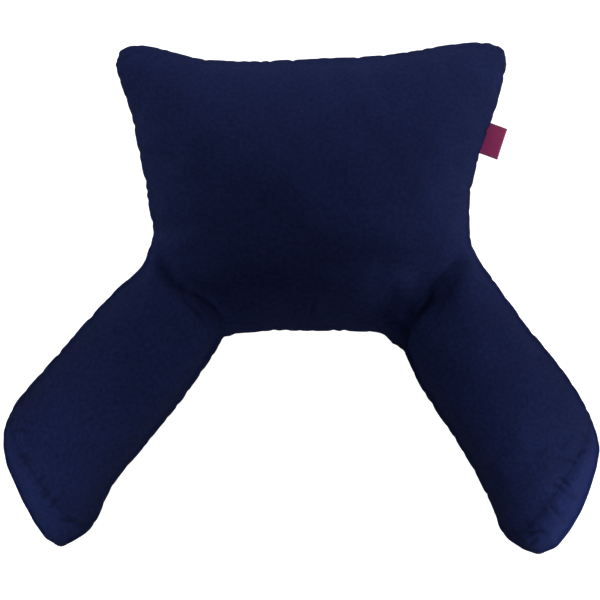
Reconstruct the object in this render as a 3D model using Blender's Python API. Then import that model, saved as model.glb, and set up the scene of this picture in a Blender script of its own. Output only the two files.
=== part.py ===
"""Reading pillow with arms: a filled back cushion with two filled arms sewn to its lower corners.

The pillow lies on its back. X runs across it, +Y points from the arm tips to the head edge, +Z is up, and
the origin is on the surface it lies on, under the middle of its outline. Each filled piece is a grid of plan
points with one face over it and one under it, which meet in a sharp sewn rim. Where two pieces are sewn to
each other, both have the same upright wall there, a hair apart.
"""

import math

import bmesh
import bpy
import numpy as np
from mathutils import Vector
from mathutils.geometry import interpolate_bezier

MM = 0.001

# Sizes, in millimetres.
SEAM_HEIGHT = 58.0       # the rim seams, over the surface
BACK_RISE = 92.0         # crown of the back over its rim
BACK_DROP = 84.0         # fullness of the back under its rim, before the surface flattens it
EAR_SINK = 8.0           # how far the rim drops at the two ears
ROOT_RISE = 40.0         # the arm's section where it is sewn to the back, over the rim
ROOT_DROP = 49.0         # and under it
SHOULDER_RISE = 58.0     # the arm's section just past that seam
SHOULDER_DROP = 62.0
MIDDLE_RISE = 68.0       # and at its fullest
MIDDLE_DROP = 72.0
TIP_RISE = 57.0          # the arm's section at its end panel
TIP_DROP = 52.0
SHOULDER_LENGTH = 45.0   # over which the root section swells to the shoulder
TIP_LEAN = 0.31          # outward lean of the end seam, as run for each unit of height
SEWN_GAP = 0.3           # between two pieces that are sewn together
LABEL_REACH = 23.5
LABEL_THICKNESS = 1.6
LABEL_SAG = 3.0          # droop of the label's free edge

# Fullness of a section: (1 - |s| ** power) ** root, for s from -1 at one rim to 1 at the other.
BACK_PROFILE = (2.2, 0.55)
ARM_PROFILE = (2.2, 0.5)
ROOT_PULL = 4            # how fast the pull of a sewn-on arm fades, inwards across the back

# Steps in the grids.
BACK_COLUMNS = 30
ROOT_STEPS = 14          # along each arm's root seam, and so across each arm
SIDE_STEPS = 17          # up each free side of the back
ARM_STEPS = 24
TIP_STEPS = 6
LABEL_STEPS = 4

# Outline tables, in millimetres: (x, y) of the points that the sewn rim passes through.
HEAD_EDGE = (
    (-219, 293), (-207, 300), (-179, 299), (-122, 287), (-50, 282), (22, 286), (109, 290), (166, 301), (210, 307),
    (237, 303), (245, 294),
)
LAP_EDGE = ((-94, -46), (-74, -40), (-26, -38), (85, -38), (101, -42), (110, -52), (125, -61))

# The back's free sides, from the waist up to the ears.
LEFT_SIDE = ((-176, 77), (-181, 103), (-184, 132), (-190, 160), (-205, 228), (-220, 274), (-219, 293))
RIGHT_SIDE = ((202, 62), (199, 86), (199, 110), (202, 134), (217, 187), (235, 240), (246, 278), (245, 294))

# The seams between back and arm, from the armpit out to the waist.
LEFT_ROOT = ((-94, -46), (-100, -19), (-122, 0), (-148, 13), (-165, 38), (-176, 77))
RIGHT_ROOT = ((125, -61), (124, -35), (147, -6), (164, 28), (185, 43), (202, 62))

# The arms' outer and inner edges, from the root out, and the rims of their end panels, from outer to inner edge.
LEFT_OUTER = ((-176, 77), (-182, 60), (-191, 37), (-220, 10), (-278, -53), (-332, -114), (-347, -137))
LEFT_INNER = ((-94, -46), (-115, -80), (-177, -164), (-219, -212), (-238, -241), (-253, -275))
LEFT_TIP = ((-347, -137), (-356, -165), (-351, -201), (-320, -270), (-294, -298), (-273, -290), (-253, -275))
RIGHT_OUTER = ((202, 62), (209, 49), (222, 29), (266, -30), (326, -106), (344, -137))
RIGHT_INNER = ((125, -61), (140, -96), (189, -173), (220, -230), (244, -286))
RIGHT_TIP = ((344, -137), (356, -176), (353, -202), (332, -259), (304, -299), (291, -307), (270, -303), (244, -286))

# Where the label is sewn into the right side, as the y of both ends, and which way it points.
LABEL_SEAM = (174, 211)
LABEL_DIRECTION = (0.94, -0.34)

# Linear colours of the two cloths: red, green, blue and opaque.
NAVY = (0.008, 0.011, 0.043, 1.0)
PLUM = (0.200, 0.012, 0.070, 1.0)


def fabric(name, colour, roughness):
    """A woven cloth's material."""
    material = bpy.data.materials.new(name)
    material.use_nodes = True
    shader = material.node_tree.nodes["Principled BSDF"]
    shader.inputs["Base Color"].default_value = colour
    shader.inputs["Roughness"].default_value = roughness
    shader.inputs["Metallic"].default_value = 0.0
    return material


def ease_ends(steps):
    """Fractions from 0 to 1, close together at both ends, where a filled section turns over."""
    return (1.0 - np.cos(np.pi * np.arange(steps + 1) / steps)) / 2.0


def ease_last(steps):
    """Fractions from 0 to 1, close together at the far end only."""
    return np.sin(np.pi / 2.0 * np.arange(steps + 1) / steps)


def ease_first(steps):
    """Fractions from 0 to 1, close together at the near end only."""
    return (np.arange(steps + 1) / steps) ** 1.5


def smooth_path(table, fractions):
    """Points at the given fractions of the length of a smooth curve through a table's points."""
    knots = [Vector((x, y, 0.0)) for x, y in table]
    around = [knots[0]] + knots + [knots[-1]]
    trail = []
    for before, here, there, after in zip(around, around[1:], around[2:], around[3:]):
        reach = (there - here).length / 3.0
        leave = (there - before).normalized() * reach
        arrive = (after - here).normalized() * reach
        trail += interpolate_bezier(here, here + leave, there - arrive, there, 16)
    trail = np.array([point[:2] for point in trail])
    run = np.concatenate(([0.0], np.cumsum(np.linalg.norm(np.diff(trail, axis=0), axis=1))))
    wanted = np.asarray(fractions) * run[-1]
    return np.column_stack([np.interp(wanted, run, trail[:, axis]) for axis in (0, 1)])


def run_fractions(points):
    """How far along its own length each point of a path lies, from 0 to 1."""
    run = np.concatenate(([0.0], np.cumsum(np.linalg.norm(np.diff(points, axis=0), axis=1))))
    return run / run[-1]


def normals_left(points):
    """Unit normals of a path, to the left of its direction."""
    along = np.gradient(points, axis=0)
    along /= np.linalg.norm(along, axis=1)[:, None]
    return np.column_stack([-along[:, 1], along[:, 0]])


def fill_plan(near, far, left, right, across, along):
    """A grid of plan points stretched between four edges, as rows of points from left to right."""
    u = np.asarray(across)[None, :, None]
    v = np.asarray(along)[:, None, None]
    sides = (1 - u) * left[:, None] + u * right[:, None]
    ends = (1 - v) * near[None, :] + v * far[None, :]
    corners = (1 - v) * ((1 - u) * near[0] + u * near[-1]) + v * ((1 - u) * far[0] + u * far[-1])
    return sides + ends - corners


def fullness(s, profile):
    """Height of a filled section, from 0 at its rims (s = -1 and 1) to 1 at its middle."""
    power, root = profile
    return np.clip(1.0 - np.abs(s) ** power, 0.0, 1.0) ** root


def stack(plan, height):
    """Points in space from plan points and a height for each, kept above the surface."""
    return np.dstack([plan, np.maximum(height, 0.0)])


def add_piece(name, top, bottom, material, collection):
    """One closed body between two grids of points, sewn together wherever the grids meet."""
    rows, columns = top.shape[:2]
    shape = bmesh.new()
    bmesh.ops.create_grid(shape, x_segments=columns - 1, y_segments=rows - 1, size=0.5)
    doubled = bmesh.ops.extrude_face_region(shape, geom=shape.faces[:])
    upper = {item for item in doubled["geom"] if isinstance(item, bmesh.types.BMVert)}
    for vertex in shape.verts:
        column = round((vertex.co.x + 0.5) * (columns - 1))
        row = round((vertex.co.y + 0.5) * (rows - 1))
        grid = top if vertex in upper else bottom
        vertex.co = Vector(grid[row, column]) * MM
    bmesh.ops.remove_doubles(shape, verts=shape.verts[:], dist=0.00001)
    bmesh.ops.recalc_face_normals(shape, faces=shape.faces[:])
    mesh = bpy.data.meshes.new(name)
    shape.to_mesh(mesh)
    shape.free()
    mesh.shade_smooth()
    mesh.set_sharp_from_angle(angle=math.radians(50))
    mesh.materials.append(material)
    piece = bpy.data.objects.new(name, mesh)
    collection.objects.link(piece)
    return piece


def root_section(steps):
    """Rise and drop of the wall between back and arm, from the armpit to the waist."""
    section = fullness(2.0 * ease_ends(steps) - 1.0, ARM_PROFILE)
    return ROOT_RISE * section, ROOT_DROP * section


def add_back(material, collection):
    """The filled back cushion; returns its right rim, which the label is sewn into."""
    seam = ease_ends(ROOT_STEPS)
    side = ease_last(SIDE_STEPS)[1:]
    left = np.vstack([smooth_path(LEFT_ROOT, seam), smooth_path(LEFT_SIDE, side)])
    right = np.vstack([smooth_path(RIGHT_ROOT, seam), smooth_path(RIGHT_SIDE, side)])
    across = ease_ends(BACK_COLUMNS)
    along = (run_fractions(left) + run_fractions(right)) / 2.0
    plan = fill_plan(smooth_path(LAP_EDGE, across), smooth_path(HEAD_EDGE, across), left, right, across, along)

    s = (2.0 * across - 1.0)[None, :]
    t = (2.0 * along - 1.0)[:, None]
    body = fullness(s, BACK_PROFILE) * fullness(t, BACK_PROFILE)
    pull = ((1.0 + s) / 2.0) ** ROOT_PULL + ((1.0 - s) / 2.0) ** ROOT_PULL
    wall_rise, wall_drop = (np.append(wall, np.zeros(SIDE_STEPS))[:, None] for wall in root_section(ROOT_STEPS))
    rim = SEAM_HEIGHT - EAR_SINK * (np.abs(s) * along[:, None]) ** 4
    rise = np.hypot(BACK_RISE * body, wall_rise * pull)
    drop = np.hypot(BACK_DROP * body, wall_drop * pull)
    top = stack(plan, rim + rise)
    add_piece("back_cushion", top, stack(plan, rim - drop), material, collection)
    return top[:, -1]


def arm_height(along, length, root, shoulder, middle, tip):
    """The arm section's rise or drop at each fraction of its length."""
    straight = shoulder * (1.0 - along) + tip * along
    bowed = straight + 4.0 * along * (1.0 - along) * (middle - (shoulder + tip) / 2.0)
    swell = 1.0 - np.clip(along * length / SHOULDER_LENGTH, 0.0, 1.0)
    return root + (bowed - root) * np.sqrt(1.0 - swell ** 2)


def add_arm(side, root_table, outer_table, inner_table, tip_table, material, collection):
    """One filled arm and the domed panel that closes its tip."""
    across = ease_ends(ROOT_STEPS)
    along = ease_first(ARM_STEPS)
    outward = -1.0 if side == "left" else 1.0

    seam = smooth_path(root_table, across)
    away = normals_left(seam) * -outward
    away[0] = away[1]
    away[-1] = away[-2]
    seam = (seam + away * SEWN_GAP)[::-1]
    outer = smooth_path(outer_table, along)
    inner = smooth_path(inner_table, along)
    chord = outer[-1] + (inner[-1] - outer[-1]) * across[:, None]
    fade = ((1.0 - along) ** 8)[:, None]
    outer = outer + (seam[0] - outer[0]) * fade
    inner = inner + (seam[-1] - inner[0]) * fade
    plan = fill_plan(seam, chord, outer, inner, across, along)

    section = fullness(2.0 * across - 1.0, ARM_PROFILE)
    length = np.linalg.norm(np.diff((outer + inner) / 2.0, axis=0), axis=1).sum()
    rise = arm_height(along, length, ROOT_RISE, SHOULDER_RISE, MIDDLE_RISE, TIP_RISE)[:, None] * section
    drop = arm_height(along, length, ROOT_DROP, SHOULDER_DROP, MIDDLE_DROP, TIP_DROP)[:, None] * section
    drop = np.minimum(drop, SEAM_HEIGHT)
    tip_way = np.array([chord[-1][1] - chord[0][1], chord[0][0] - chord[-1][0]]) * -outward
    tip_way /= np.linalg.norm(tip_way)
    lean = TIP_LEAN * tip_way * ((along ** 3)[:, None, None])
    top = stack(plan + lean * rise[..., None], SEAM_HEIGHT + rise)
    bottom = stack(plan - lean * drop[..., None], SEAM_HEIGHT - drop)
    add_piece(f"arm_{side}", top, bottom, material, collection)

    shift = tip_way * SEWN_GAP * math.hypot(1.0, TIP_LEAN)
    rim = smooth_path(tip_table, across) + shift
    turn = np.pi / 2.0 * np.arange(TIP_STEPS + 1) / TIP_STEPS
    faces = []
    for ring, height in ((top[-1], rise[-1]), (bottom[-1], -drop[-1])):
        start = ring[:, :2] + shift
        spread = start + (rim - start) * np.sin(turn)[:, None, None]
        faces.append(stack(spread, SEAM_HEIGHT + height * np.cos(turn)[:, None]))
    add_piece(f"arm_end_{side}", faces[0], faces[1], material, collection)


def add_label(side_rim, material, collection):
    """The folded label, sewn into the back's side seam by one edge and drooping a little at the other."""
    seam_y = np.linspace(*LABEL_SEAM, LABEL_STEPS + 1)
    seam = np.column_stack([np.interp(seam_y, side_rim[:, 1], side_rim[:, axis]) for axis in range(3)])
    out = np.linspace(0.0, 1.0, LABEL_STEPS + 1)
    way = np.array(LABEL_DIRECTION)
    plan = seam[:, None, :2] + way * (SEWN_GAP + LABEL_REACH * out)[None, :, None]
    middle = seam[:, 2:3] - LABEL_SAG * out[None, :] ** 2
    half = LABEL_THICKNESS / 2.0
    add_piece("side_label", stack(plan, middle + half), stack(plan, middle - half), material, collection)


def main():
    for leftover in list(bpy.data.objects):
        bpy.data.objects.remove(leftover, do_unlink=True)
    collection = bpy.data.collections.new("reading_pillow")
    bpy.context.scene.collection.children.link(collection)
    navy = fabric("navy_cotton", NAVY, 0.95)
    plum = fabric("plum_label", PLUM, 0.7)
    side_rim = add_back(navy, collection)
    add_arm("left", LEFT_ROOT, LEFT_OUTER, LEFT_INNER, LEFT_TIP, navy, collection)
    add_arm("right", RIGHT_ROOT, RIGHT_OUTER, RIGHT_INNER, RIGHT_TIP, navy, collection)
    add_label(side_rim, plum, collection)


main()
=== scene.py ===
"""The looks of the reading pillow with arms: filled cloth covers, their seams, the label, and a plain stage.

Laid out as an add-on and run as a script. Lengths are in metres. X runs across the pillow, +Y points to its
head edge, +Z is up, and it lies on its back on z = 0.
"""

import math

import bmesh
import bpy
import numpy as np
from bpy.props import FloatProperty, FloatVectorProperty, IntProperty, PointerProperty
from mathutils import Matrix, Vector
from mathutils.kdtree import KDTree


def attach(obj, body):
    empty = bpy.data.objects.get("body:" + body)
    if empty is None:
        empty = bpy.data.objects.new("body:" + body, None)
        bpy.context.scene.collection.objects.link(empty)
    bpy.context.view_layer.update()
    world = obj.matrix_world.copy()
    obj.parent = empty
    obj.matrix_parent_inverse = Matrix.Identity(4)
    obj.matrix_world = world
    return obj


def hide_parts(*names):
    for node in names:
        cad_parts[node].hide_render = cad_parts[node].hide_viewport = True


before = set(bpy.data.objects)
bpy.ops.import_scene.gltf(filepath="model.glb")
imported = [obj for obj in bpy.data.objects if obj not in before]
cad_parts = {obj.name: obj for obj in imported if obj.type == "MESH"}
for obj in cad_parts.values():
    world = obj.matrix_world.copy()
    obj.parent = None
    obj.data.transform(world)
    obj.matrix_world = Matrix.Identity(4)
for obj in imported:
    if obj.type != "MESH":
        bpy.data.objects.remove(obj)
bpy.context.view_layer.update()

bl_info = {
    "name": "Reading pillow with arms",
    "version": (1, 0, 0),
    "blender": (4, 5, 0),
    "location": "3D View > Sidebar > Pillow",
    "description": "Dresses the reading pillow's solids in filled cloth covers with puckered seams",
    "category": "Object",
}

BODY = "root"
SAME_SPOT = 0.00005      # points of one solid closer than this are one point
SEWN_REACH = 0.0006      # points of two pieces closer than this are sewn to each other
SEAM_HEIGHT = 0.058      # of the rim seams over the surface
SEAM_GAP = 0.0001        # between two covers that are sewn to each other
SEAM_REACH = 0.009       # how far beside a seam the cover's squares are finest
NEVER = 9.9              # a distance that nothing on the pillow is away
SEED = 11
RIM_EVEN = 4             # spots of the outline on either side that a push is evened out over
WHOLE = "whole_cover"
CUTTER_REACH = 0.6
CUTTER_STEPS = 60
WALL_ANGLE = math.radians(60.0)
PANELS_MEET = -0.0004    # two faces belong to different panels where the product of their Z parts is below this
RIM_REACH = 0.016        # how far beside the outline a push on it tapers off
HELD_FLAT = 0.002        # within this distance of a seam or of the surface a cover is held fast
SOFTEN = 6               # rounds of evening out that take the facets off a cover
FINE_FOLDS = 2           # rounds of evening out after which folds are still there
BROAD_FORM = 60          # rounds after which only the broad form is left
FLECK = 0.0046           # size of the flecks in the cloth's dye
THREAD_TONES = (0.45, 1.55)  # darkest and palest threads, as shares of the cloth's colour
SEAM_SHADE_TONE = 0.16         # tone of the painted shade deep in a seam, crease or pucker, as such a share
END_PAINTED_LIGHT = 0.18          # how much paler the end panels' cloth is painted, as painted light on them
GLOSS = 0.12             # specular level of the cloth where it faces the eye
GLOSS_FALL = (0.46, 0.86)  # how far it is turned from the eye, from 0 to 1, where that gloss fades and ends
BORDER = 0.0017          # width of the dark woven edge of the label's ribbon
PALE_LINE = 0.0006       # width of the paler line inside it
CURL = 0.0007            # how far the label's free edge waves up and down
LABEL_ROWS = 44          # squares round the label's fold
LABEL_COLUMNS = 24       # squares along the seam that it is sewn into
FLOOR_SIDE = 8.0
FLOOR_GAP = 0.0003       # from the floor up to the pillow
VIEW_CENTRE = (-0.0018, -0.0024)
SIDES = ("left", "right")

# The stage's lights: name, power in watts, side and spread, then the spot it faces and, seen from there, its
# azimuth (0 at +X, 90 at +Y), its rise over the floor and its distance. Angles are in degrees.
LIGHTS = (
    ("head_right_light", 1.06, 0.50, 45.0, (0.15, 0.30, 0.0), 33.0, 21.0, 1.00),
    ("head_left_light", 0.92, 0.50, 60.0, (-0.10, 0.20, 0.0), 147.0, 21.0, 1.25),
    ("ear_left_light", 0.35, 0.50, 45.0, (-0.15, 0.30, 0.0), 147.0, 21.0, 1.00),
    ("head_high_light", 0.14, 0.50, 60.0, (0.05, 0.20, 0.0), 60.0, 32.0, 1.00),
    ("overhead_light", 0.22, 0.80, 60.0, (0.0, 0.10, 0.0), 90.0, 80.0, 1.50),
    ("right_light", 1.25, 0.40, 90.0, (0.30, -0.05, 0.05), -8.0, 14.0, 1.00),
    ("tip_left_light", 0.36, 0.25, 70.0, (-0.30, -0.22, 0.05), 215.0, 60.0, 0.50),
    ("tip_right_light", 0.29, 0.25, 70.0, (0.30, -0.24, 0.05), -35.0, 60.0, 0.50),
    ("tip_right_low_light", 0.20, 0.25, 70.0, (0.30, -0.24, 0.05), -35.0, 35.0, 0.50),
)

# Creases, tucks and puckers of the upper side: (depth, half width, (x, y) of the points along it), in millimetres.
# A wide one is a soft hollow, and one whose depth is below zero is a swell; one that presses in gets painted shade,
# darker the narrower it is.
CREASES = (
    (1.8, 2.2, ((-143, 12), (-134, 7), (-123, 1), (-112, -6), (-104, -13), (-99, -20), (-95, -29))),
    (2.0, 2.4, ((-141, 1), (-131, -10), (-122, -20), (-113, -32))),
    (1.4, 2.2, ((155, 6), (146, -10), (136, -23), (128, -35))),
    (-3.0, 8.0, ((178, 50), (165, 36), (155, 23), (146, 10), (135, -6), (128, -18))),
    (-1.2, 7.0, ((105, 6), (98, -6), (91, -19))),
    (3.0, 9.0, ((191, 32), (181, 20), (163, -4), (153, -18), (145, -31))),
    (3.5, 26.0, ((197, 19), (161, -58))),
    (5.0, 26.0, ((-172, 5), (-134, -79))),
    (1.4, 2.4, ((127, -34), (127, -46), (123, -58))),
    (1.0, 3.0, ((121, -34), (111, -29), (101, -30))),
    (0.8, 2.4, ((14, 1), (13, -10), (11, -24))),
    (1.0, 3.0, ((197, 124), (188, 122), (178, 120))),
    (1.7, 2.4, ((-343, -156), (-333, -156), (-325, -158))),
    (1.7, 2.4, ((-339, -188), (-331, -187), (-322, -186))),
    (1.5, 2.6, ((-319, -223), (-311, -218), (-304, -212))),
    (1.5, 2.4, ((-309, -239), (-302, -233), (-297, -227))),
    (1.5, 2.4, ((-299, -250), (-293, -244), (-287, -238))),
    (2.0, 2.6, ((-290, -266), (-278, -265), (-267, -268))),
    (1.3, 2.4, ((328, -197), (317, -193), (309, -191))),
    (1.5, 2.4, ((321, -226), (310, -217), (302, -212))),
    (1.6, 2.6, ((309, -262), (301, -253), (293, -246))),
    (0.8, 2.6, ((339, -181), (328, -184), (322, -186))),
    (0.8, 2.6, ((331, -242), (321, -236), (314, -233))),
    (2.6, 3.0, ((259, -280), (272, -281), (283, -278), (293, -282))),
    (1.4, 2.4, ((271, -295), (277, -289), (283, -283))),
)


# ---------------------------------------------------------------- sizes and colours

class PillowCover(bpy.types.PropertyGroup):
    """How the covers are filled."""

    square: FloatProperty(
        name="Square", description="Side of the even squares that a cover is simulated in",
        default=0.005, min=0.002, unit="LENGTH")
    pressure: FloatProperty(name="Pressure", description="Push of the filling against the cover", default=4.0)
    spare: FloatProperty(
        name="Spare cloth", description="How much larger the panels are cut than the space between their seams",
        default=0.035)
    stiffness: FloatProperty(name="Bending", description="How hard the cloth is to bend", default=1.0)
    steps: IntProperty(name="Steps", description="Frames of simulation", default=20, min=1)
    most_move: FloatProperty(
        name="Largest move", description="Cap on how far the filling moves a point of the cover",
        default=0.010, unit="LENGTH")
    keep: FloatProperty(name="Folds kept", description="Share of the simulated folds' depth that is kept", default=0.42)
    dents: FloatProperty(
        name="Unevenness", description="Depth of the broad dents of the filling", default=0.0013, unit="LENGTH")


class PillowSeams(bpy.types.PropertyGroup):
    """How the seams draw the cloth in."""

    groove: FloatProperty(name="Groove depth", description="Depth of a sewn line", default=0.0013, unit="LENGTH")
    groove_width: FloatProperty(
        name="Groove width", description="Half width of a sewn line", default=0.0020, unit="LENGTH")
    # How far the painted shade beside a sewn line reaches
    shade: FloatProperty(
        name="Shade width", description="How far beside a sewn line its cloth looks darker", default=0.0045,
        unit="LENGTH")
    pucker: FloatProperty(
        name="Pucker depth", description="Depth of the deeper puckers", default=0.0016, unit="LENGTH")
    pucker_step: FloatProperty(
        name="Pucker step", description="Usual distance between puckers", default=0.021, unit="LENGTH")
    valley: FloatProperty(
        name="Valley depth", description="Depth of the soft valley along the end seams", default=0.0014, unit="LENGTH")
    valley_width: FloatProperty(
        name="Valley width", description="Half width of that valley", default=0.0075, unit="LENGTH")
    outset: FloatProperty(
        name="Outset", description="How far the sewn rims stand out past the solids' outline", default=0.0014,
        unit="LENGTH")


class PillowCloth(bpy.types.PropertyGroup):
    """Colours and thread sizes."""

    navy: FloatVectorProperty(
        name="Cover", description="Colour of the cover's cloth", subtype="COLOR", size=3, min=0.0, max=1.0,
        default=(0.0053, 0.0100, 0.0500))
    thread: FloatProperty(
        name="Thread", description="Width of one thread of the cover's cloth", default=0.0008, unit="LENGTH")
    ribbon: FloatVectorProperty(
        name="Label", description="Colour of the label's ribbon", subtype="COLOR", size=3, min=0.0, max=1.0,
        default=(0.230, 0.0080, 0.085))
    ribbon_thread: FloatProperty(
        name="Label thread", description="Width of one thread of the label's ribbon", default=0.0003, unit="LENGTH")


class PillowLabel(bpy.types.PropertyGroup):
    """The folded label in the right side seam."""

    low: FloatProperty(name="Low end", description="Y of its lower edge at the seam", default=0.174, unit="LENGTH")
    high: FloatProperty(name="High end", description="Y of its upper edge at the seam", default=0.211, unit="LENGTH")
    reach: FloatProperty(name="Reach", description="How far it stands out of the seam", default=0.0235, unit="LENGTH")
    tuck: FloatProperty(name="Tuck", description="How far it goes into the seam", default=0.0025, unit="LENGTH")
    turn: FloatProperty(name="Direction", description="Its direction in plan", default=-0.347, subtype="ANGLE")
    sag: FloatProperty(name="Sag", description="Droop of its folded edge", default=0.0030, unit="LENGTH")
    fold: FloatProperty(name="Fold radius", description="Of its folded edge", default=0.0006, unit="LENGTH")
    thickness: FloatProperty(name="Thickness", description="Of the ribbon", default=0.0003, unit="LENGTH")


class PillowStage(bpy.types.PropertyGroup):
    """The floor, lights and camera."""

    view_side: FloatProperty(
        name="View side", description="Side of the square that the camera sees at seam height",
        default=0.720, unit="LENGTH")
    camera_height: FloatProperty(name="Camera height", description="Over the floor", default=6.0, unit="LENGTH")
    brightness: FloatProperty(name="Brightness", description="Share of the lights' usual power", default=1.0)
    room_light: FloatProperty(name="Room light", description="Strength of the even light all round", default=0.04)
    floor_glow: FloatProperty(
        name="Floor glow", description="Light that the floor gives the pillow, as a share of what the camera sees",
        default=0.15)


# ---------------------------------------------------------------- solids and their seams

def solid_shape(node):
    """A solid's mesh with its loose triangles merged."""
    shape = bmesh.new()
    shape.from_mesh(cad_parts[node].data)
    bmesh.ops.remove_doubles(shape, verts=shape.verts[:], dist=SAME_SPOT)
    shape.normal_update()
    return shape


def sewn_points(shape, other):
    """The vertices of one solid that lie against another solid."""
    tree = KDTree(len(other.verts))
    for index, vertex in enumerate(other.verts):
        tree.insert(vertex.co, index)
    tree.balance()
    return {vertex for vertex in shape.verts if tree.find(vertex.co)[2] < SEWN_REACH}


def wall_faces(shape, sewn):
    """The faces of the hidden wall between two sewn solids."""
    return [face for face in shape.faces if all(vertex in sewn for vertex in face.verts)]


def wall_outline(shape, sewn):
    """The edges round a hidden wall."""
    walls = set(wall_faces(shape, sewn))
    return [edge for edge in shape.edges if sum(face in walls for face in edge.link_faces) == 1]


def rim_edges(shape, sewn):
    """The edges where the upper and the lower panel are sewn together."""
    return [edge for edge in shape.edges
            if edge.link_faces[0].normal.z * edge.link_faces[1].normal.z < PANELS_MEET
            and not (edge.verts[0] in sewn and edge.verts[1] in sewn)]


def walk(edges):
    """The points along each chain of edges, in order."""
    links = {}
    for edge in edges:
        for vertex in edge.verts:
            links.setdefault(vertex, []).append(edge)
    ends = [vertex for vertex, joined in links.items() if len(joined) == 1]
    unused = set(edges)
    chains = []
    for start in ends + list(links):
        here = start
        chain = [here.co.copy()]
        while True:
            onward = next((edge for edge in links[here] if edge in unused), None)
            if onward is None:
                break
            unused.discard(onward)
            here = onward.other_vert(here)
            chain.append(here.co.copy())
        if len(chain) > 1:
            chains.append(np.array(chain))
    return chains


class SewnLine:
    """Sewn lines as closely spaced points, each with how far along the line it lies."""

    STEP = 0.001

    def __init__(self, chains):
        spots = []
        runs = []
        start = 0.0
        for chain in chains:
            lengths = np.linalg.norm(np.diff(chain, axis=0), axis=1)
            run = np.concatenate(([0.0], np.cumsum(lengths)))
            wanted = np.linspace(0.0, run[-1], max(2, int(run[-1] / self.STEP)))
            spots.append(np.column_stack([np.interp(wanted, run, chain[:, axis]) for axis in range(3)]))
            runs.append(wanted + start)
            start += run[-1] + 1.0
        self.spots = np.vstack(spots)
        self.runs = np.concatenate(runs)
        self.tree = KDTree(len(self.spots))
        for index, spot in enumerate(self.spots):
            self.tree.insert(spot, index)
        self.tree.balance()

    def nearest(self, points, reach):
        """Distance to the line and place along it, for each point within reach of it."""
        away = np.full(len(points), NEVER)
        run = np.zeros(len(points))
        for index, point in enumerate(points):
            _, spot, distance = self.tree.find(point)
            if distance < reach:
                away[index] = distance
                run[index] = self.runs[spot]
        return away, run


class RootSeam:
    """The upright wall between the back and one arm: a path in plan from the lap edge to the outer side."""

    def __init__(self, chains, side):
        ring = np.vstack(chains)[:, :2]
        ends = ring[ring[:, 1].argmin()], ring[ring[:, 1].argmax()]
        self.start = ends[0]
        self.way = (ends[1] - ends[0]) / np.linalg.norm(ends[1] - ends[0])
        self.outward = np.array([-self.way[1], self.way[0]]) * (1.0 if side == "left" else -1.0)
        run = (ring - self.start) @ self.way
        order = run.argsort()
        self.run = run[order]
        self.swing = ((ring - self.start) @ self.outward)[order]

    def past(self, points):
        """How far each point lies past the wall, on the arm's side of it."""
        plan = points[:, :2] - self.start
        return plan @ self.outward - np.interp(plan @ self.way, self.run, self.swing)

    def cutter(self, gap):
        """A tall block over all of the arm's side, its near wall a gap past the seam."""
        steps = np.linspace(self.run[0], self.run[-1], CUTTER_STEPS)
        swings = np.interp(steps, self.run, self.swing) + gap
        steps = np.concatenate(([steps[0] - CUTTER_REACH], steps, [steps[-1] + CUTTER_REACH]))
        swings = np.concatenate(([swings[0]], swings, [swings[-1]]))
        path = [self.start + step * self.way + swing * self.outward for step, swing in zip(steps, swings)]
        path += [path[-1] + CUTTER_REACH * self.outward, path[0] + CUTTER_REACH * self.outward]
        shape = bmesh.new()
        corners = [shape.verts.new((x, y, -CUTTER_REACH)) for x, y in path]
        outline = [shape.edges.new(pair) for pair in zip(corners, corners[1:] + corners[:1])]
        base = bmesh.ops.contextual_create(shape, geom=outline)["faces"]
        raised = bmesh.ops.extrude_face_region(shape, geom=base)["geom"]
        top = [item for item in raised if isinstance(item, bmesh.types.BMVert)]
        bmesh.ops.translate(shape, verts=top, vec=(0.0, 0.0, 2.0 * CUTTER_REACH))
        bmesh.ops.recalc_face_normals(shape, faces=shape.faces[:])
        return object_of("cutter", shape)


class TipSeam:
    """The leaning flat wall between an arm and the panel that closes it."""

    def __init__(self, chains):
        ring = np.vstack(chains)
        self.spot = ring.mean(axis=0)
        normal = np.linalg.svd(ring - self.spot)[2][2]
        self.way = -normal * np.sign(normal[1])

    def past(self, points):
        """How far each point lies past the wall, on the end panel's side of it."""
        return (points - self.spot) @ self.way


class Sewing:
    """Where the solids are sewn to each other, and all of them as one closed shape without the walls between."""

    def __init__(self):
        back = solid_shape("back_cushion")
        arms = {side: solid_shape(f"arm_{side}") for side in SIDES}
        ends = {side: solid_shape(f"arm_end_{side}") for side in SIDES}
        at_root = {side: sewn_points(back, arms[side]) for side in SIDES}
        rims = rim_edges(back, set().union(*at_root.values()))
        self.back_rim = SewnLine(walk(rims))
        root_chains = {side: walk(wall_outline(back, at_root[side])) for side in SIDES}
        self.roots = {side: RootSeam(root_chains[side], side) for side in SIDES}
        self.root_lines = {side: SewnLine(root_chains[side]) for side in SIDES}
        self.tips = {}
        self.tip_lines = {}
        self.arm_rims = {}
        drop = [(back, wall_faces(back, set().union(*at_root.values())))]
        for side in SIDES:
            at_back = sewn_points(arms[side], back)
            at_end = sewn_points(arms[side], ends[side])
            chains = walk(wall_outline(arms[side], at_end))
            self.tips[side] = TipSeam(chains)
            self.tip_lines[side] = SewnLine(chains)
            self.arm_rims[side] = SewnLine(walk(rim_edges(arms[side], at_back | at_end)))
            drop.append((arms[side], wall_faces(arms[side], at_back) + wall_faces(arms[side], at_end)))
            drop.append((ends[side], wall_faces(ends[side], sewn_points(ends[side], arms[side]))))
        self.whole = bmesh.new()
        for shape, walls in drop:
            bmesh.ops.delete(shape, geom=walls, context="FACES")
            mesh = bpy.data.meshes.new("solid")
            shape.to_mesh(mesh)
            self.whole.from_mesh(mesh)
            bpy.data.meshes.remove(mesh)
        bmesh.ops.remove_doubles(self.whole, verts=self.whole.verts[:], dist=SEWN_REACH)
        bmesh.ops.recalc_face_normals(self.whole, faces=self.whole.faces[:])
        self.whole.normal_update()
        self.outline = SewnLine(walk(rim_edges(self.whole, set())))


# ---------------------------------------------------------------- meshes

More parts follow.
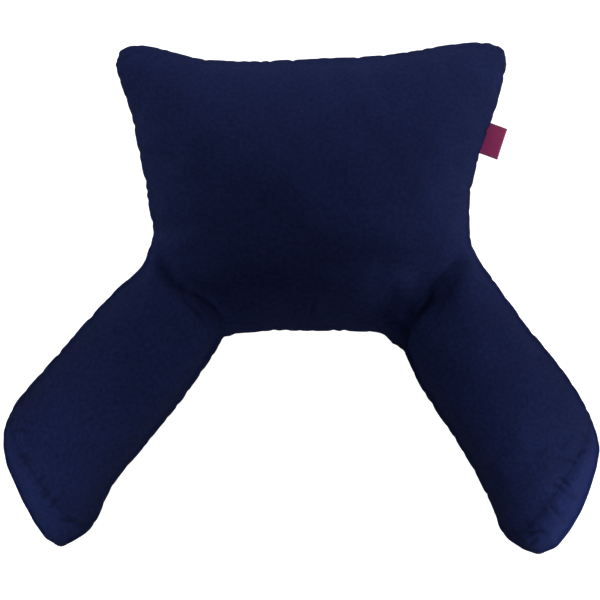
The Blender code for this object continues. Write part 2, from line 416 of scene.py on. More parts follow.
def object_from(name, mesh):
    """A new object that shows a mesh, in the scene's collection."""
    piece = bpy.data.objects.new(name, mesh)
    bpy.context.scene.collection.objects.link(piece)
    return piece


def object_of(name, shape):
    """A new object made from a shape, which is freed."""
    mesh = bpy.data.meshes.new(name)
    shape.to_mesh(mesh)
    shape.free()
    return object_from(name, mesh)


def as_shown(piece):
    """A new mesh of a piece with its modifiers applied."""
    return bpy.data.meshes.new_from_object(piece.evaluated_get(bpy.context.evaluated_depsgraph_get()))


def swap_mesh(piece, mesh):
    """Gives a piece a finished mesh in place of its old one and its modifiers."""
    old = piece.data
    piece.modifiers.clear()
    piece.data = mesh
    bpy.data.meshes.remove(old)


def read_out(items, name, width, kind=float):
    """What each item of a mesh holds under a name, a row each."""
    values = np.empty(len(items) * width, dtype=kind)
    items.foreach_get(name, values)
    return values.reshape(-1, width)


def points_of(mesh):
    """A mesh's points, a row each."""
    return read_out(mesh.vertices, "co", 3)


def put_points(mesh, points):
    """Moves a mesh's points."""
    mesh.vertices.foreach_set("co", np.ascontiguousarray(points, dtype=np.float32).ravel())
    mesh.update()


def normals_of(mesh):
    """A mesh's point normals, a row each."""
    return read_out(mesh.vertex_normals, "vector", 3)


def spread(mesh, values, rounds):
    """Values of a mesh's points, evened out over their neighbours a number of times."""
    one, two = read_out(mesh.edges, "vertices", 2, np.int32).T
    count = len(mesh.vertices)
    joined = np.bincount(one, minlength=count) + np.bincount(two, minlength=count)
    values = values.astype(float)
    for _ in range(rounds):
        sums = np.empty_like(values)
        for axis in range(values.shape[1]):
            column = values[:, axis]
            sums[:, axis] = (np.bincount(one, column[two], count) + np.bincount(two, column[one], count)) / joined
        values = (values + sums) / 2.0
    return values


def face_centres(mesh):
    """A mesh's face centres, a row each."""
    return read_out(mesh.polygons, "center", 3)


def fade(distance, reach):
    """1 at no distance, falling smoothly to 0 at reach."""
    near = np.clip(1.0 - distance / reach, 0.0, 1.0)
    return near * near * (3.0 - 2.0 * near)


# ---------------------------------------------------------------- covers

def cut_cover(name, shape, square):
    """A closed cover of even squares round a shape, with its facets evened out."""
    mesh = bpy.data.meshes.new(name)
    shape.to_mesh(mesh)
    piece = object_from(name, mesh)
    squares = piece.modifiers.new("even squares", "REMESH")
    squares.mode = "VOXEL"
    squares.voxel_size = square
    squares.use_smooth_shade = True
    even = as_shown(piece)
    swap_mesh(piece, even)
    points = points_of(even)
    smooth = spread(even, points, SOFTEN)
    regain = spread(even, smooth - spread(even, smooth, SOFTEN), FINE_FOLDS)
    put_points(even, smooth + regain)
    return piece


def push_out_rims(piece, rim, outset):
    """Moves a cover's rims sideways, back to the outline that rounding drew them in from and a little past it."""
    points = points_of(piece.data)
    sideways = normals_of(piece.data)[:, :2]
    sideways /= np.maximum(np.linalg.norm(sideways, axis=1, keepdims=True), 0.3)
    tree = KDTree(len(points))
    for index, point in enumerate(points):
        tree.insert(point, index)
    tree.balance()
    closest = np.array([tree.find(spot)[1] for spot in rim.spots])
    short = ((rim.spots[:, :2] - points[closest, :2]) * sideways[closest]).sum(axis=1)
    short = np.convolve(np.pad(short, RIM_EVEN, mode="wrap"), np.full(2 * RIM_EVEN + 1, 1.0), "valid")
    away, run = rim.nearest(points, 0.02)
    push = (np.interp(run, rim.runs, short / (2 * RIM_EVEN + 1)) + outset) * fade(away, RIM_REACH)
    points[:, :2] += push[:, None] * sideways
    put_points(piece.data, points)


def fill_cover(piece, held, cover):
    """Fills a cover: where its points are once the filling has pushed the spare cloth out between its seams."""
    group = piece.vertex_groups.new(name="held")
    for index in np.nonzero(held > 0.001)[0]:
        group.add([int(index)], float(held[index]), "REPLACE")
    cloth = piece.modifiers.new("cover", "CLOTH")
    settings = cloth.settings
    settings.quality = 6
    settings.mass = 0.25
    settings.tension_stiffness = 20.0
    settings.compression_stiffness = 12.0
    settings.shear_stiffness = 6.0
    settings.bending_stiffness = cover.stiffness
    settings.use_pressure = True
    settings.uniform_pressure_force = cover.pressure
    settings.effector_weights.gravity = 0.0
    settings.vertex_group_mass = group.name
    settings.vertex_group_shrink = group.name
    settings.shrink_min = -cover.spare
    settings.shrink_max = 0.0
    cloth.collision_settings.use_collision = False
    cloth.point_cache.frame_start = 1
    cloth.point_cache.frame_end = cover.steps
    for step in range(1, cover.steps + 1):
        bpy.context.scene.frame_set(step)
    filled = piece.evaluated_get(bpy.context.evaluated_depsgraph_get())
    moved = points_of(filled.data)
    piece.modifiers.clear()
    piece.vertex_groups.clear()
    bpy.context.scene.frame_set(1)
    return moved


def settle(piece, moved, cover):
    """Keeps the folds that the filling made and the outline that the cover was cut to."""
    start = points_of(piece.data)
    move = moved - start
    length = np.linalg.norm(move, axis=1, keepdims=True)
    move *= np.minimum(1.0, cover.most_move / np.maximum(length, 1e-9))
    folds = spread(piece.data, move, FINE_FOLDS) - spread(piece.data, move, BROAD_FORM)
    put_points(piece.data, start + cover.keep * folds)


def simulate(piece, lines, cover):
    """Fills a cover that is held along its seams and where it lies on the surface."""
    points = points_of(piece.data)
    away = np.min([line.nearest(points, 0.02)[0] for line in lines], axis=0)
    held = np.maximum(fade(away - HELD_FLAT, 0.012), fade(points[:, 2] - HELD_FLAT, 0.006))
    settle(piece, fill_cover(piece, held, cover), cover)


def lay_out_weave(piece, panels):
    """A UV map in metres that unrolls each panel. panels holds the faces of each and its thread directions."""
    mesh = piece.data
    number = np.argmax([chosen for chosen, _, _ in panels], axis=0)
    shape = bmesh.new()
    shape.from_mesh(mesh)
    shape.faces.ensure_lookup_table()
    for edge in shape.edges:
        one, two = edge.link_faces
        edge.seam = bool(number[one.index] != number[two.index])
    shape.to_mesh(mesh)
    shape.free()
    mesh.uv_layers.new(name="weave")
    bpy.ops.object.select_all(action="DESELECT")
    piece.select_set(True)
    bpy.context.view_layer.objects.active = piece
    bpy.ops.object.mode_set(mode="EDIT")
    bpy.ops.mesh.select_all(action="SELECT")
    bpy.ops.uv.unwrap(method="CONFORMAL", margin=0.0)
    bpy.ops.object.mode_set(mode="OBJECT")

    sides = read_out(mesh.polygons, "loop_total", 1, np.int32)[:, 0]
    places = read_out(mesh.uv_layers["weave"].data, "uv", 2)
    points = points_of(mesh)[read_out(mesh.loops, "vertex_index", 1, np.int32)[:, 0]]
    for chosen, warp, weft in panels:
        panel = np.repeat(chosen, sides)
        flat = places[panel] - places[panel].mean(axis=0)
        plan = np.column_stack([points[panel] @ warp, points[panel] @ weft])
        plan -= plan.mean(axis=0)
        left, sizes, right = np.linalg.svd(flat.T @ plan)
        places[panel] = flat @ (left @ right) * (sizes.sum() / (flat ** 2).sum())
    mesh.uv_layers["weave"].data.foreach_set("uv", places.ravel())


def refine(piece, lines, reach):
    """Halves the squares of a cover, rounding it, and halves them again beside its sewn lines."""
    halves = piece.modifiers.new("halves", "SUBSURF")
    halves.levels = 1
    halves.render_levels = 1
    swap_mesh(piece, as_shown(piece))
    points = points_of(piece.data)
    away = np.min([line.nearest(points, 2.0 * reach)[0] for line in lines], axis=0)
    shape = bmesh.new()
    shape.from_mesh(piece.data)
    shape.verts.ensure_lookup_table()
    beside = [edge for edge in shape.edges if max(away[vertex.index] for vertex in edge.verts) < reach]
    bmesh.ops.subdivide_edges(shape, edges=beside, cuts=1, smooth=1.0, use_grid_fill=True)
    shape.to_mesh(piece.data)
    shape.free()


def note(mesh, name, values):
    """Keeps a number for each point of a mesh, for its material to read."""
    mesh.attributes.new(name, "FLOAT", "POINT").data.foreach_set("value", values.astype(np.float32))


# ---------------------------------------------------------------- seams, creases and dents

def pucker_depth(away, run, step, seed):
    """How deep the puckers along a sewn line press in, from 0 to 1, at each point near the line."""
    chance = np.random.default_rng(seed)
    places = []
    here = run.min()
    while here < run.max() + step:
        places.append(here)
        here += step * chance.uniform(0.45, 1.6)
    depth = np.zeros(len(away))
    for place in places:
        strength = chance.uniform(0.25, 1.0)
        width = chance.uniform(0.0024, 0.0046)
        reach = chance.uniform(0.012, 0.034)
        slant = chance.uniform(-0.35, 0.35)
        off = (run - place - slant * away) / (width + 0.18 * away)
        near = np.abs(off) < 3.0
        depth[near] = np.maximum(depth[near], strength * np.exp(-off[near] ** 2) * fade(away[near], reach))
    return depth


def crease_depth(points, path, width, sharp):
    """How deep a crease in plan presses in, from 0 to 1; a sharp one has a low swell on either side of it."""
    path = np.array(path) / 1000.0
    legs = np.diff(path, axis=0)
    lengths = np.linalg.norm(legs, axis=1)
    starts = np.concatenate(([0.0], np.cumsum(lengths)))
    away = np.full(len(points), NEVER)
    along = np.zeros(len(points))
    for corner, leg, length, start in zip(path, legs, lengths, starts):
        run = np.clip((points[:, :2] - corner) @ leg / length, 0.0, length)
        distance = np.linalg.norm(points[:, :2] - corner - run[:, None] * leg / length, axis=1)
        closer = distance < away
        away[closer] = distance[closer]
        along[closer] = ((start + run) / starts[-1])[closer]
    ends = np.sin(np.pi * np.clip(along, 0.0, 1.0)) ** (1.5 - 0.9 * sharp) + 0.15 * sharp
    return ends * (np.exp(-(away / width) ** 2) - 0.45 * sharp * np.exp(-((away - 2.4 * width) / (1.2 * width)) ** 2))


def soft_dents(points, seed):
    """Broad unevenness of a stuffed cover, from about -1 to 1, as a few waves in chosen directions."""
    chance = np.random.default_rng(seed)
    height = np.zeros(len(points))
    total = 0.0
    for length in (0.21, 0.16, 0.12, 0.095, 0.075, 0.06, 0.048, 0.038, 0.031):
        turn = chance.uniform(0.0, math.tau)
        way = np.array([math.cos(turn), math.sin(turn), chance.uniform(-0.6, 0.6)]) * math.tau / length
        across = np.array([-way[1], way[0], way[2]])
        bend = np.sin(0.6 * points @ across + chance.uniform(0.0, math.tau))
        height += length * np.sin(points @ way + 1.2 * bend + chance.uniform(0.0, math.tau))
        total += length
    return 1.8 * height / total


def sew(piece, lines, cover, seams):
    """Presses sewn lines, puckers, creases and dents into a cover, and paints shade along them into its seam attribute.

    lines holds each line with its share of the groove, of its painted shade, of the puckers and of the soft valley.
    """
    mesh = piece.data
    points = points_of(mesh)
    lift = cover.dents * soft_dents(points, SEED)
    shade = np.zeros(len(points))
    for number, (line, groove, dark, draw, valley) in enumerate(lines):
        away, run = line.nearest(points, 0.05)
        near = away < NEVER
        pucker = np.zeros(len(points))
        pucker[near] = pucker_depth(away[near], run[near], seams.pucker_step, SEED + number + 1)
        lift -= draw * seams.pucker * (pucker - 0.3 * fade(away, 0.03))
        lift -= groove * seams.groove * np.exp(-(away / seams.groove_width) ** 2)
        lift -= valley * seams.valley * np.exp(-(away / seams.valley_width) ** 2)
        # Painted shade beside each sewn line and in its puckers
        shade = np.maximum(shade, np.maximum(dark * fade(away, seams.shade), 0.5 * draw * pucker * fade(away, 0.02)))
    upper = np.clip((points[:, 2] - SEAM_HEIGHT) / 0.01, 0.0, 1.0)
    for depth, width, path in CREASES:
        sharp = min(1.0, 3.0 / width)
        pressed = crease_depth(points, path, width / 1000.0, sharp) * upper
        lift -= depth / 1000.0 * pressed
        # A crease that presses in gets painted shade, darker the narrower it is
        if depth > 0.0:
            shade = np.maximum(shade, 0.5 * sharp * np.clip(pressed, 0.0, 1.0))
    lift *= 1.0 - fade(points[:, 2], 0.012)
    points += lift[:, None] * normals_of(mesh)
    points[:, 2] = np.maximum(points[:, 2], 0.0)
    put_points(mesh, points)
    # The painted shade is kept in the seam attribute for the cloth's colour
    note(mesh, "seam", shade)


def cut_away(piece, cutter, operation):
    """Cuts a closed piece with a block, which is then removed."""
    cut = piece.modifiers.new("cut", "BOOLEAN")
    cut.operation = operation
    cut.solver = "MANIFOLD"
    cut.object = cutter
    swap_mesh(piece, as_shown(piece))
    block = cutter.data
    bpy.data.objects.remove(cutter)
    bpy.data.meshes.remove(block)


def keep_side(piece, seam, side):
    """Keeps what lies past an end panel's seam, side 1, or before it, side -1, and closes the wall."""
    shape = bmesh.new()
    shape.from_mesh(piece.data)
    bmesh.ops.bisect_plane(shape, geom=shape.verts[:] + shape.edges[:] + shape.faces[:], dist=0.00001,
                           plane_co=seam.spot + 0.5 * side * SEAM_GAP * seam.way, plane_no=seam.way,
                           clear_outer=side < 0, clear_inner=side > 0)
    open_edges = [edge for edge in shape.edges if edge.is_boundary]
    wall = bmesh.ops.edgenet_fill(shape, edges=open_edges)["faces"]
    bmesh.ops.triangulate(shape, faces=wall)
    bmesh.ops.recalc_face_normals(shape, faces=shape.faces[:])
    shape.to_mesh(piece.data)
    shape.free()


# ---------------------------------------------------------------- materials

class Wires:
    """Places nodes in a tree and joins them."""

    def __init__(self, tree):
        self.tree = tree

    def join(self, value, socket):
        """Joins a socket to an input, or sets the input to a value."""
        if isinstance(value, bpy.types.NodeSocket):
            self.tree.links.new(value, socket)
        else:
            socket.default_value = value

    def node(self, kind, inputs, **settings):
        """A node with its settings and inputs."""
        node = self.tree.nodes.new(kind)
        for name, value in settings.items():
            setattr(node, name, value)
        for name, value in inputs.items():
            self.join(value, node.inputs[name])
        return node

    def math(self, operation, *values):
        """The result of a Math node."""
        return self.node("ShaderNodeMath", dict(enumerate(values)), operation=operation).outputs[0]

    def attribute(self, name):
        """A number that the mesh holds for each of its points."""
        return self.node("ShaderNodeAttribute", {}, attribute_name=name).outputs["Fac"]

    def noise(self, place, scale, detail=2.0):
        """A noise pattern, about 0.5 on average."""
        inputs = {"Vector": place, "Scale": scale, "Detail": detail}
        return self.node("ShaderNodeTexNoise", inputs).outputs["Fac"]

    def ramp(self, value, start, end):
        """0 below start, rising smoothly to 1 at end."""
        inputs = {"Value": value, "From Min": start, "From Max": end}
        return self.node("ShaderNodeMapRange", inputs, interpolation_type="SMOOTHSTEP").outputs["Result"]

    def vector(self, x, y, z=0.0):
        """A vector from its parts."""
        return self.node("ShaderNodeCombineXYZ", {"X": x, "Y": y, "Z": z}).outputs[0]

    def blend(self, share, first, second):
        """A colour between two colours."""
        node = self.node("ShaderNodeMix", {"Factor": share}, data_type="RGBA")
        self.join(first, node.inputs[6])
        self.join(second, node.inputs[7])
        return node.outputs[2]


def new_group(name, inputs, outputs):
    """An empty shader node group with its sockets, and the wires inside it."""
    group = bpy.data.node_groups.new(name, "ShaderNodeTree")
    for label, kind in inputs:
        group.interface.new_socket(label, in_out="INPUT", socket_type=kind)
    for label, kind in outputs:
        group.interface.new_socket(label, in_out="OUTPUT", socket_type=kind)
    return group, Wires(group)


def woven_threads():
    """Plain weave: how high the cloth's upper thread stands at each place, and how pale that thread is."""
    name = "woven threads"
    if name in bpy.data.node_groups:
        return bpy.data.node_groups[name]
    group, wires = new_group(
        name, [("Place", "NodeSocketVector"), ("Thread", "NodeSocketFloat")],
        [("Height", "NodeSocketFloat"), ("Tone", "NodeSocketFloat")])
    given = group.nodes.new("NodeGroupInput").outputs
    place = wires.node("ShaderNodeSeparateXYZ", {"Vector": given["Place"]}).outputs
    counts = [wires.math("DIVIDE", place[axis], given["Thread"]) for axis in (0, 1)]
    waves = [wires.math("SINE", wires.math("MULTIPLY", count, math.pi)) for count in counts]
    heights = []
    for own, other, over in ((waves[0], waves[1], 0.25), (waves[1], waves[0], -0.25)):
        round_top = wires.math("MULTIPLY", wires.math("ABSOLUTE", own), 0.5)
        over_under = wires.math("MULTIPLY", wires.math("MULTIPLY", own, other), over)
        heights.append(wires.math("ADD", round_top, over_under))
    tones = []
    for own, other, layer in ((counts[0], place[1], 0.0), (counts[1], place[0], 40.0)):
        thread = wires.math("MULTIPLY", wires.math("FLOOR", own), 3.7)
        along = wires.math("MULTIPLY", other, 45.0)
        tones.append(wires.noise(wires.vector(thread, along, layer), 1.0, 1.0))
    warp_on_top = wires.math("GREATER_THAN", heights[0], heights[1])
    difference = wires.math("SUBTRACT", tones[0], tones[1])
    given_out = group.nodes.new("NodeGroupOutput").inputs
    wires.join(wires.math("ADD", wires.math("MAXIMUM", *heights), 0.25), given_out["Height"])
    wires.join(wires.math("MULTIPLY_ADD", warp_on_top, difference, tones[1]), given_out["Tone"])
    return group


def uneven_dye():
    """Soft mottling of dyed cloth: fine flecks of nap over broad, faint patches."""
    name = "uneven dye"
    if name in bpy.data.node_groups:
        return bpy.data.node_groups[name]
    group, wires = new_group(
        name, [("Place", "NodeSocketVector"), ("Fleck", "NodeSocketFloat")], [("Tone", "NodeSocketFloat")])
    given = group.nodes.new("NodeGroupInput").outputs
    flecks = wires.noise(given["Place"], wires.math("DIVIDE", 1.0, given["Fleck"]), 1.0)
    patches = wires.noise(given["Place"], 22.0, 2.0)
    tone = wires.math("ADD", wires.math("MULTIPLY", flecks, 0.75), wires.math("MULTIPLY", patches, 0.25))
    wires.join(tone, group.nodes.new("NodeGroupOutput").inputs["Tone"])
    return group


def new_material(name):
    """A material with its shader and the wires round it."""
    material = bpy.data.materials.new(name)
    material.use_nodes = True
    return material, Wires(material.node_tree), material.node_tree.nodes["Principled BSDF"]


def dim(colour, share):
    """A colour, darker or lighter, with its alpha."""
    return tuple(channel * share for channel in colour) + (1.0,)


def navy_cotton(cloth):
    """The cover's closely woven, slightly napped cotton, with painted shade in its seams, creases and puckers and
    painted light on its end panels.
    """
    material, wires, shader = new_material("navy_cloth")
    place = wires.node("ShaderNodeUVMap", {}, uv_map="weave").outputs["UV"]
    weave = wires.node("ShaderNodeGroup", {"Place": place, "Thread": cloth.thread}, node_tree=woven_threads())
    dye = wires.node("ShaderNodeGroup", {"Place": place, "Fleck": FLECK}, node_tree=uneven_dye())
    # Painted shade along the sewn lines, creases and puckers
    seam = wires.attribute("seam")

    # Painted light: the end panels' cloth is made paler by this share
    pale = wires.attribute("pale")
    threads = wires.math("MULTIPLY_ADD", weave.outputs["Tone"], 0.36, -0.18)
    tone = wires.math("MULTIPLY_ADD", wires.math("SUBTRACT", dye.outputs["Tone"], 0.5), 1.2, threads)
    gaps = wires.math("MULTIPLY_ADD", weave.outputs["Height"], 0.3, 0.28)
    share = wires.math("ADD", wires.math("ADD", tone, gaps), pale)
    cloth_colour = wires.blend(share, *[dim(cloth.navy, tone) for tone in THREAD_TONES])
    # Painted shade: the cloth darkens towards its seam tone where the seam attribute says so
    colour = wires.blend(wires.math("MULTIPLY", seam, 0.75), cloth_colour, dim(cloth.navy, SEAM_SHADE_TONE))
    wires.join(colour, shader.inputs["Base Color"])
    wires.join(wires.math("MULTIPLY_ADD", dye.outputs["Tone"], -0.12, 0.98), shader.inputs["Roughness"])
    relief = wires.math("MULTIPLY_ADD", dye.outputs["Tone"], 0.9, weave.outputs["Height"])
    bump = wires.node("ShaderNodeBump", {"Strength": 0.55, "Distance": 0.00022, "Height": relief})
    wires.join(bump.outputs["Normal"], shader.inputs["Normal"])
    turned = wires.node("ShaderNodeLayerWeight", {"Blend": 0.5}).outputs["Facing"]
    shader.inputs["Specular IOR Level"].default_value = GLOSS
    gloss = wires.math("MULTIPLY_ADD", wires.ramp(turned, *GLOSS_FALL), -GLOSS, GLOSS)
    wires.join(gloss, shader.inputs["Specular IOR Level"])
    return material


def plum_ribbon(cloth):
    """The label's ribbon: fine threads, darker woven edges, and a paler line inside each."""
    material, wires, shader = new_material("plum_ribbon")
    place = wires.node("ShaderNodeUVMap", {}, uv_map="weave").outputs["UV"]
    weave = wires.node("ShaderNodeGroup", {"Place": place, "Thread": cloth.ribbon_thread}, node_tree=woven_threads())
    edge = wires.attribute("edge")
    border = wires.math("LESS_THAN", edge, BORDER)
    pale = wires.math("MULTIPLY", wires.math("GREATER_THAN", edge, BORDER),
                      wires.math("LESS_THAN", edge, BORDER + PALE_LINE))

    share = wires.math("MULTIPLY_ADD", weave.outputs["Tone"], 0.6, wires.math("MULTIPLY", weave.outputs["Height"], 0.3))
    colour = wires.blend(share, dim(cloth.ribbon, 0.62), dim(cloth.ribbon, 1.35))
    colour = wires.blend(wires.math("MULTIPLY", border, 0.6), colour, dim(cloth.ribbon, 0.35))
    colour = wires.blend(wires.math("MULTIPLY", pale, 0.5), colour, (0.34, 0.060, 0.17, 1.0))
    wires.join(colour, shader.inputs["Base Color"])
    wires.join(wires.math("MULTIPLY_ADD", weave.outputs["Tone"], 0.2, 0.5), shader.inputs["Roughness"])
    relief = wires.math("MULTIPLY_ADD", border, 0.6, weave.outputs["Height"])
    bump = wires.node("ShaderNodeBump", {"Strength": 0.6, "Distance": 0.00012, "Height": relief})
    wires.join(bump.outputs["Normal"], shader.inputs["Normal"])
    shader.inputs["Specular IOR Level"].default_value = 0.3
    shader.inputs["Sheen Weight"].default_value = 0.1
    return material


def material_for(name, make, cloth):
    """A material by name, made the first time that it is asked for."""
    return bpy.data.materials.get(name) or make(cloth)


# ---------------------------------------------------------------- pieces and the stage

def plan_way(angle):
    """A unit direction in plan and the one square to it."""
    return np.array([math.cos(angle), math.sin(angle), 0.0]), np.array([-math.sin(angle), math.cos(angle), 0.0])


def finish_cover(piece, node, cloth, pale=0.0):
    """Gives a finished cover its cloth, painted paler by a share as painted light, and its place in the frame."""
    note(piece.data, "pale", np.full(len(piece.data.vertices), pale))
    piece.data.materials.clear()
    piece.data.materials.append(material_for("navy_cloth", navy_cotton, cloth))
    piece.data.set_sharp_from_angle(angle=WALL_ANGLE)
    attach(piece, BODY)
    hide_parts(node)


class PILLOW_OT_fill(bpy.types.Operator):
    """Sews all the covers together and fills them, still in one piece."""

    bl_idname = "pillow.fill"
    bl_label = "Fill the covers"

    def execute(self, context):
        scene = context.scene
        cover = scene.pillow_cover
        sewing = Sewing()
        roots = list(sewing.root_lines.values())
        tips = list(sewing.tip_lines.values())
        arm_rims = list(sewing.arm_rims.values())

        piece = cut_cover(WHOLE, sewing.whole, cover.square)
        push_out_rims(piece, sewing.outline, 0.0)
        simulate(piece, [sewing.outline, *roots, *tips], cover)
        lay_out_weave(piece, cover_panels(face_centres(piece.data), sewing))
        refine(piece, [sewing.back_rim, *arm_rims, *roots, *tips], SEAM_REACH)
        push_out_rims(piece, sewing.outline, scene.pillow_seams.outset)
        # Each line's shares: groove, painted shade, puckers and soft valley
        lines = [(sewing.back_rim, 0.35, 1.0, 1.0, 0.0)]
        lines += [(rim, 0.3, 0.9, 0.8, 0.0) for rim in arm_rims]
        lines += [(root, 0.0, 0.0, 0.25, 0.0) for root in roots]
        lines += [(tip, 0.35, 0.35, 1.1, 1.0) for tip in tips]
        sew(piece, lines, cover, scene.pillow_seams)
        return {"FINISHED"}


def cover_panels(centres, sewing):
    """The panels that the covers are cut from: the faces of each, and the directions of its threads."""
    upper = centres[:, 2] > SEAM_HEIGHT
    on_back = np.ones(len(centres), dtype=bool)
    panels = []
    for side in SIDES:
        root, tip = sewing.roots[side], sewing.tips[side]
        on_arm = root.past(centres) > 0.0
        on_end = on_arm & (tip.past(centres) > 0.0)
        on_back &= ~on_arm
        lengthwise = tip.spot[:2] - root.start
        warp, weft = plan_way(math.atan2(lengthwise[1], lengthwise[0]))
        _, across_end = plan_way(math.atan2(tip.way[1], tip.way[0]))
        panels += [(on_arm & ~on_end & upper, warp, weft), (on_arm & ~on_end & ~upper, warp, weft),
                   (on_end, across_end, np.array([0.0, 0.0, 1.0]))]
    warp, weft = plan_way(0.0)
    return panels + [(on_back & upper, warp, weft), (on_back & ~upper, warp, weft)]


def copy_of_whole(name):
    """A copy of the filled covers in one piece."""
    return object_from(name, bpy.data.objects[WHOLE].data.copy())


class PILLOW_OT_back_cover(bpy.types.Operator):
    """Parts the cover of the back from the arms."""

    bl_idname = "pillow.back_cover"
    bl_label = "Back cover"

    def execute(self, context):
        piece = copy_of_whole("back_cover")
        for root in Sewing().roots.values():
            cut_away(piece, root.cutter(-0.5 * SEAM_GAP), "DIFFERENCE")
        finish_cover(piece, "back_cushion", context.scene.pillow_cloth)
        return {"FINISHED"}


class PILLOW_OT_arm_covers(bpy.types.Operator):
    """Parts the covers of both arms and of the panels that close them."""

    bl_idname = "pillow.arm_covers"
    bl_label = "Arm covers"

    def execute(self, context):
        sewing = Sewing()
        for side in SIDES:
            arm = copy_of_whole(f"arm_cover_{side}")
            cut_away(arm, sewing.roots[side].cutter(0.5 * SEAM_GAP), "INTERSECT")
            end = object_from(f"end_cover_{side}", arm.data.copy())
            keep_side(arm, sewing.tips[side], -1)
            keep_side(end, sewing.tips[side], 1)
            finish_cover(arm, f"arm_{side}", context.scene.pillow_cloth)
            # The end panels get painted light that makes their cloth paler
            finish_cover(end, f"arm_end_{side}", context.scene.pillow_cloth, END_PAINTED_LIGHT)
        whole = bpy.data.objects[WHOLE].data
        bpy.data.objects.remove(bpy.data.objects[WHOLE])
        bpy.data.meshes.remove(whole)
        return {"FINISHED"}


class PILLOW_OT_label(bpy.types.Operator):
    """Makes the folded ribbon label in the right side seam."""

    bl_idname = "pillow.label"
    bl_label = "Label"

    def execute(self, context):
        scene = context.scene
        label = scene.pillow_label
        solid = solid_shape("back_cushion")
        rim = SewnLine(walk(rim_edges(solid, set()))).spots
        seam = rim[(rim[:, 0] > 0.0) & (rim[:, 1] > label.low - 0.01) & (rim[:, 1] < label.high + 0.01)]
        seam = seam[seam[:, 1].argsort()]
        straight = label.reach + label.tuck - label.fold
        length = 2.0 * straight + math.pi * label.fold
        width = label.high - label.low

        shape = bmesh.new()
        bmesh.ops.create_grid(shape, x_segments=LABEL_ROWS, y_segments=LABEL_COLUMNS, size=0.5)
        weave = shape.loops.layers.uv.new("weave")
        edge = shape.verts.layers.float.new("edge")
        places = {}
        for vertex in shape.verts:
            run = (vertex.co.x + 0.5) * length
            along = (vertex.co.y + 0.5) * width
            places[vertex] = (run, along)
            vertex[edge] = min(along, width - along)
            turned = min(max((run - straight) / label.fold, 0.0), math.pi)
            out = min(run, length - run) if turned in (0.0, math.pi) else straight + label.fold * math.sin(turned)
            apart = label.fold * math.cos(turned)
            share = max(out - label.tuck, 0.0) / label.reach
            start = [np.interp(label.low + along, seam[:, 1], seam[:, axis]) for axis in range(3)]
            curl = CURL * share * math.sin(along / width * 2.6 + 0.4)
            vertex.co = Vector(start) + Vector((math.cos(label.turn), math.sin(label.turn), 0.0)) * (out - label.tuck)
            vertex.co.z += apart - label.sag * share ** 2 + curl
        for face in shape.faces:
            face.smooth = True
            for loop in face.loops:
                loop[weave].uv = places[loop.vert]
        bmesh.ops.recalc_face_normals(shape, faces=shape.faces[:])
        piece = object_of("side_ribbon", shape)
        ribbon = piece.modifiers.new("ribbon", "SOLIDIFY")
        ribbon.thickness = label.thickness
        ribbon.offset = 0.0
        piece.data.materials.append(material_for("plum_ribbon", plum_ribbon, scene.pillow_cloth))
        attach(piece, BODY)
        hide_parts("side_label")
        return {"FINISHED"}


def soft_light(name, power, side, spread, target, azimuth, rise, distance):
    """A square light that faces a spot."""
    light = bpy.data.lights.new(name, "AREA")
    light.shape = "SQUARE"
    light.size = side
    light.energy = power
    light.spread = math.radians(spread)
    lamp = bpy.data.objects.new(name, light)
    bpy.context.scene.collection.objects.link(lamp)
    turn, rise = math.radians(azimuth), math.radians(rise)
    towards = Vector((math.cos(turn) * math.cos(rise), math.sin(turn) * math.cos(rise), math.sin(rise)))
    lamp.location = Vector(target) + towards * distance
    lamp.rotation_euler = towards.to_track_quat("Z", "Y").to_euler()
    lamp.visible_camera = False


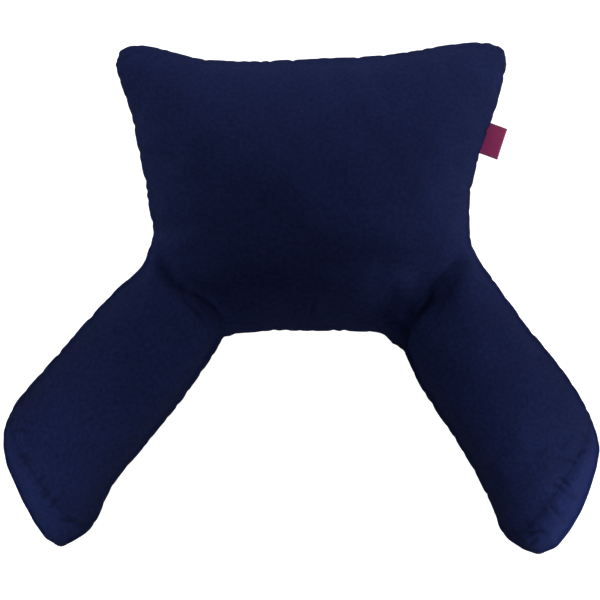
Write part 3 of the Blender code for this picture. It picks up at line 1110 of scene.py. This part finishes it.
class PILLOW_OT_stage(bpy.types.Operator):
    """Sets up the floor, the lights and the camera."""

    bl_idname = "pillow.stage"
    bl_label = "Stage"

    def execute(self, context):
        scene = context.scene
        stage = scene.pillow_stage
        shape = bmesh.new()
        bmesh.ops.create_grid(shape, x_segments=1, y_segments=1, size=FLOOR_SIDE / 2.0)
        bmesh.ops.translate(shape, verts=shape.verts[:], vec=(0.0, 0.0, -FLOOR_GAP))
        floor = object_of("floor", shape)
        material, wires, shader = new_material("floor_paint")
        shader.inputs["Base Color"].default_value = (0.4, 0.4, 0.4, 1.0)
        shader.inputs["Roughness"].default_value = 0.9
        shader.inputs["Specular IOR Level"].default_value = 0.1
        shader.inputs["Emission Color"].default_value = (1.0, 1.0, 1.0, 1.0)
        seen = wires.node("ShaderNodeLightPath", {}).outputs["Is Camera Ray"]
        glow = wires.math("MULTIPLY_ADD", seen, 1.0 - stage.floor_glow, stage.floor_glow)
        wires.join(glow, shader.inputs["Emission Strength"])
        floor.data.materials.append(material)

        world = bpy.data.worlds.new("room")
        world.use_nodes = True
        background = world.node_tree.nodes["Background"]
        background.inputs["Color"].default_value = (1.0, 1.0, 1.0, 1.0)
        background.inputs["Strength"].default_value = stage.room_light
        scene.world = world
        for name, power, *setting in LIGHTS:
            soft_light(name, stage.brightness * power, *setting)
        scene.view_settings.view_transform = "Standard"

        lens = bpy.data.cameras.new("camera")
        lens.lens = lens.sensor_width * (stage.camera_height - SEAM_HEIGHT) / stage.view_side
        camera = bpy.data.objects.new("camera", lens)
        camera.location = (VIEW_CENTRE[0], VIEW_CENTRE[1], stage.camera_height)
        scene.collection.objects.link(camera)
        scene.camera = camera
        return {"FINISHED"}


class PILLOW_PT_pieces(bpy.types.Panel):
    """Lists the pillow's pieces."""

    bl_idname = "PILLOW_PT_pieces"
    bl_label = "Reading pillow"
    bl_space_type = "VIEW_3D"
    bl_region_type = "UI"
    bl_category = "Pillow"

    def draw(self, context):
        for name in STEPS:
            self.layout.operator(f"pillow.{name}")
        for name in SETTINGS:
            box = self.layout.box()
            settings = getattr(context.scene, name)
            for value in settings.__annotations__:
                box.prop(settings, value)


STEPS = ("fill", "back_cover", "arm_covers", "label", "stage")
SETTINGS = {
    "pillow_cover": PillowCover,
    "pillow_seams": PillowSeams,
    "pillow_cloth": PillowCloth,
    "pillow_label": PillowLabel,
    "pillow_stage": PillowStage,
}
OPERATORS = (PILLOW_OT_fill, PILLOW_OT_back_cover, PILLOW_OT_arm_covers, PILLOW_OT_label, PILLOW_OT_stage,
             PILLOW_PT_pieces)


def register():
    """Adds the classes and their settings."""
    for kind in (*SETTINGS.values(), *OPERATORS):
        bpy.utils.register_class(kind)
    for name, kind in SETTINGS.items():
        setattr(bpy.types.Scene, name, PointerProperty(type=kind))


def unregister():
    """Takes the classes and their settings out again."""
    for name in SETTINGS:
        delattr(bpy.types.Scene, name)
    for kind in reversed((*SETTINGS.values(), *OPERATORS)):
        bpy.utils.unregister_class(kind)


def main():
    """Makes every piece and the stage."""
    register()
    for name in STEPS:
        getattr(bpy.ops.pillow, name)()


if __name__ == "__main__":
    main()
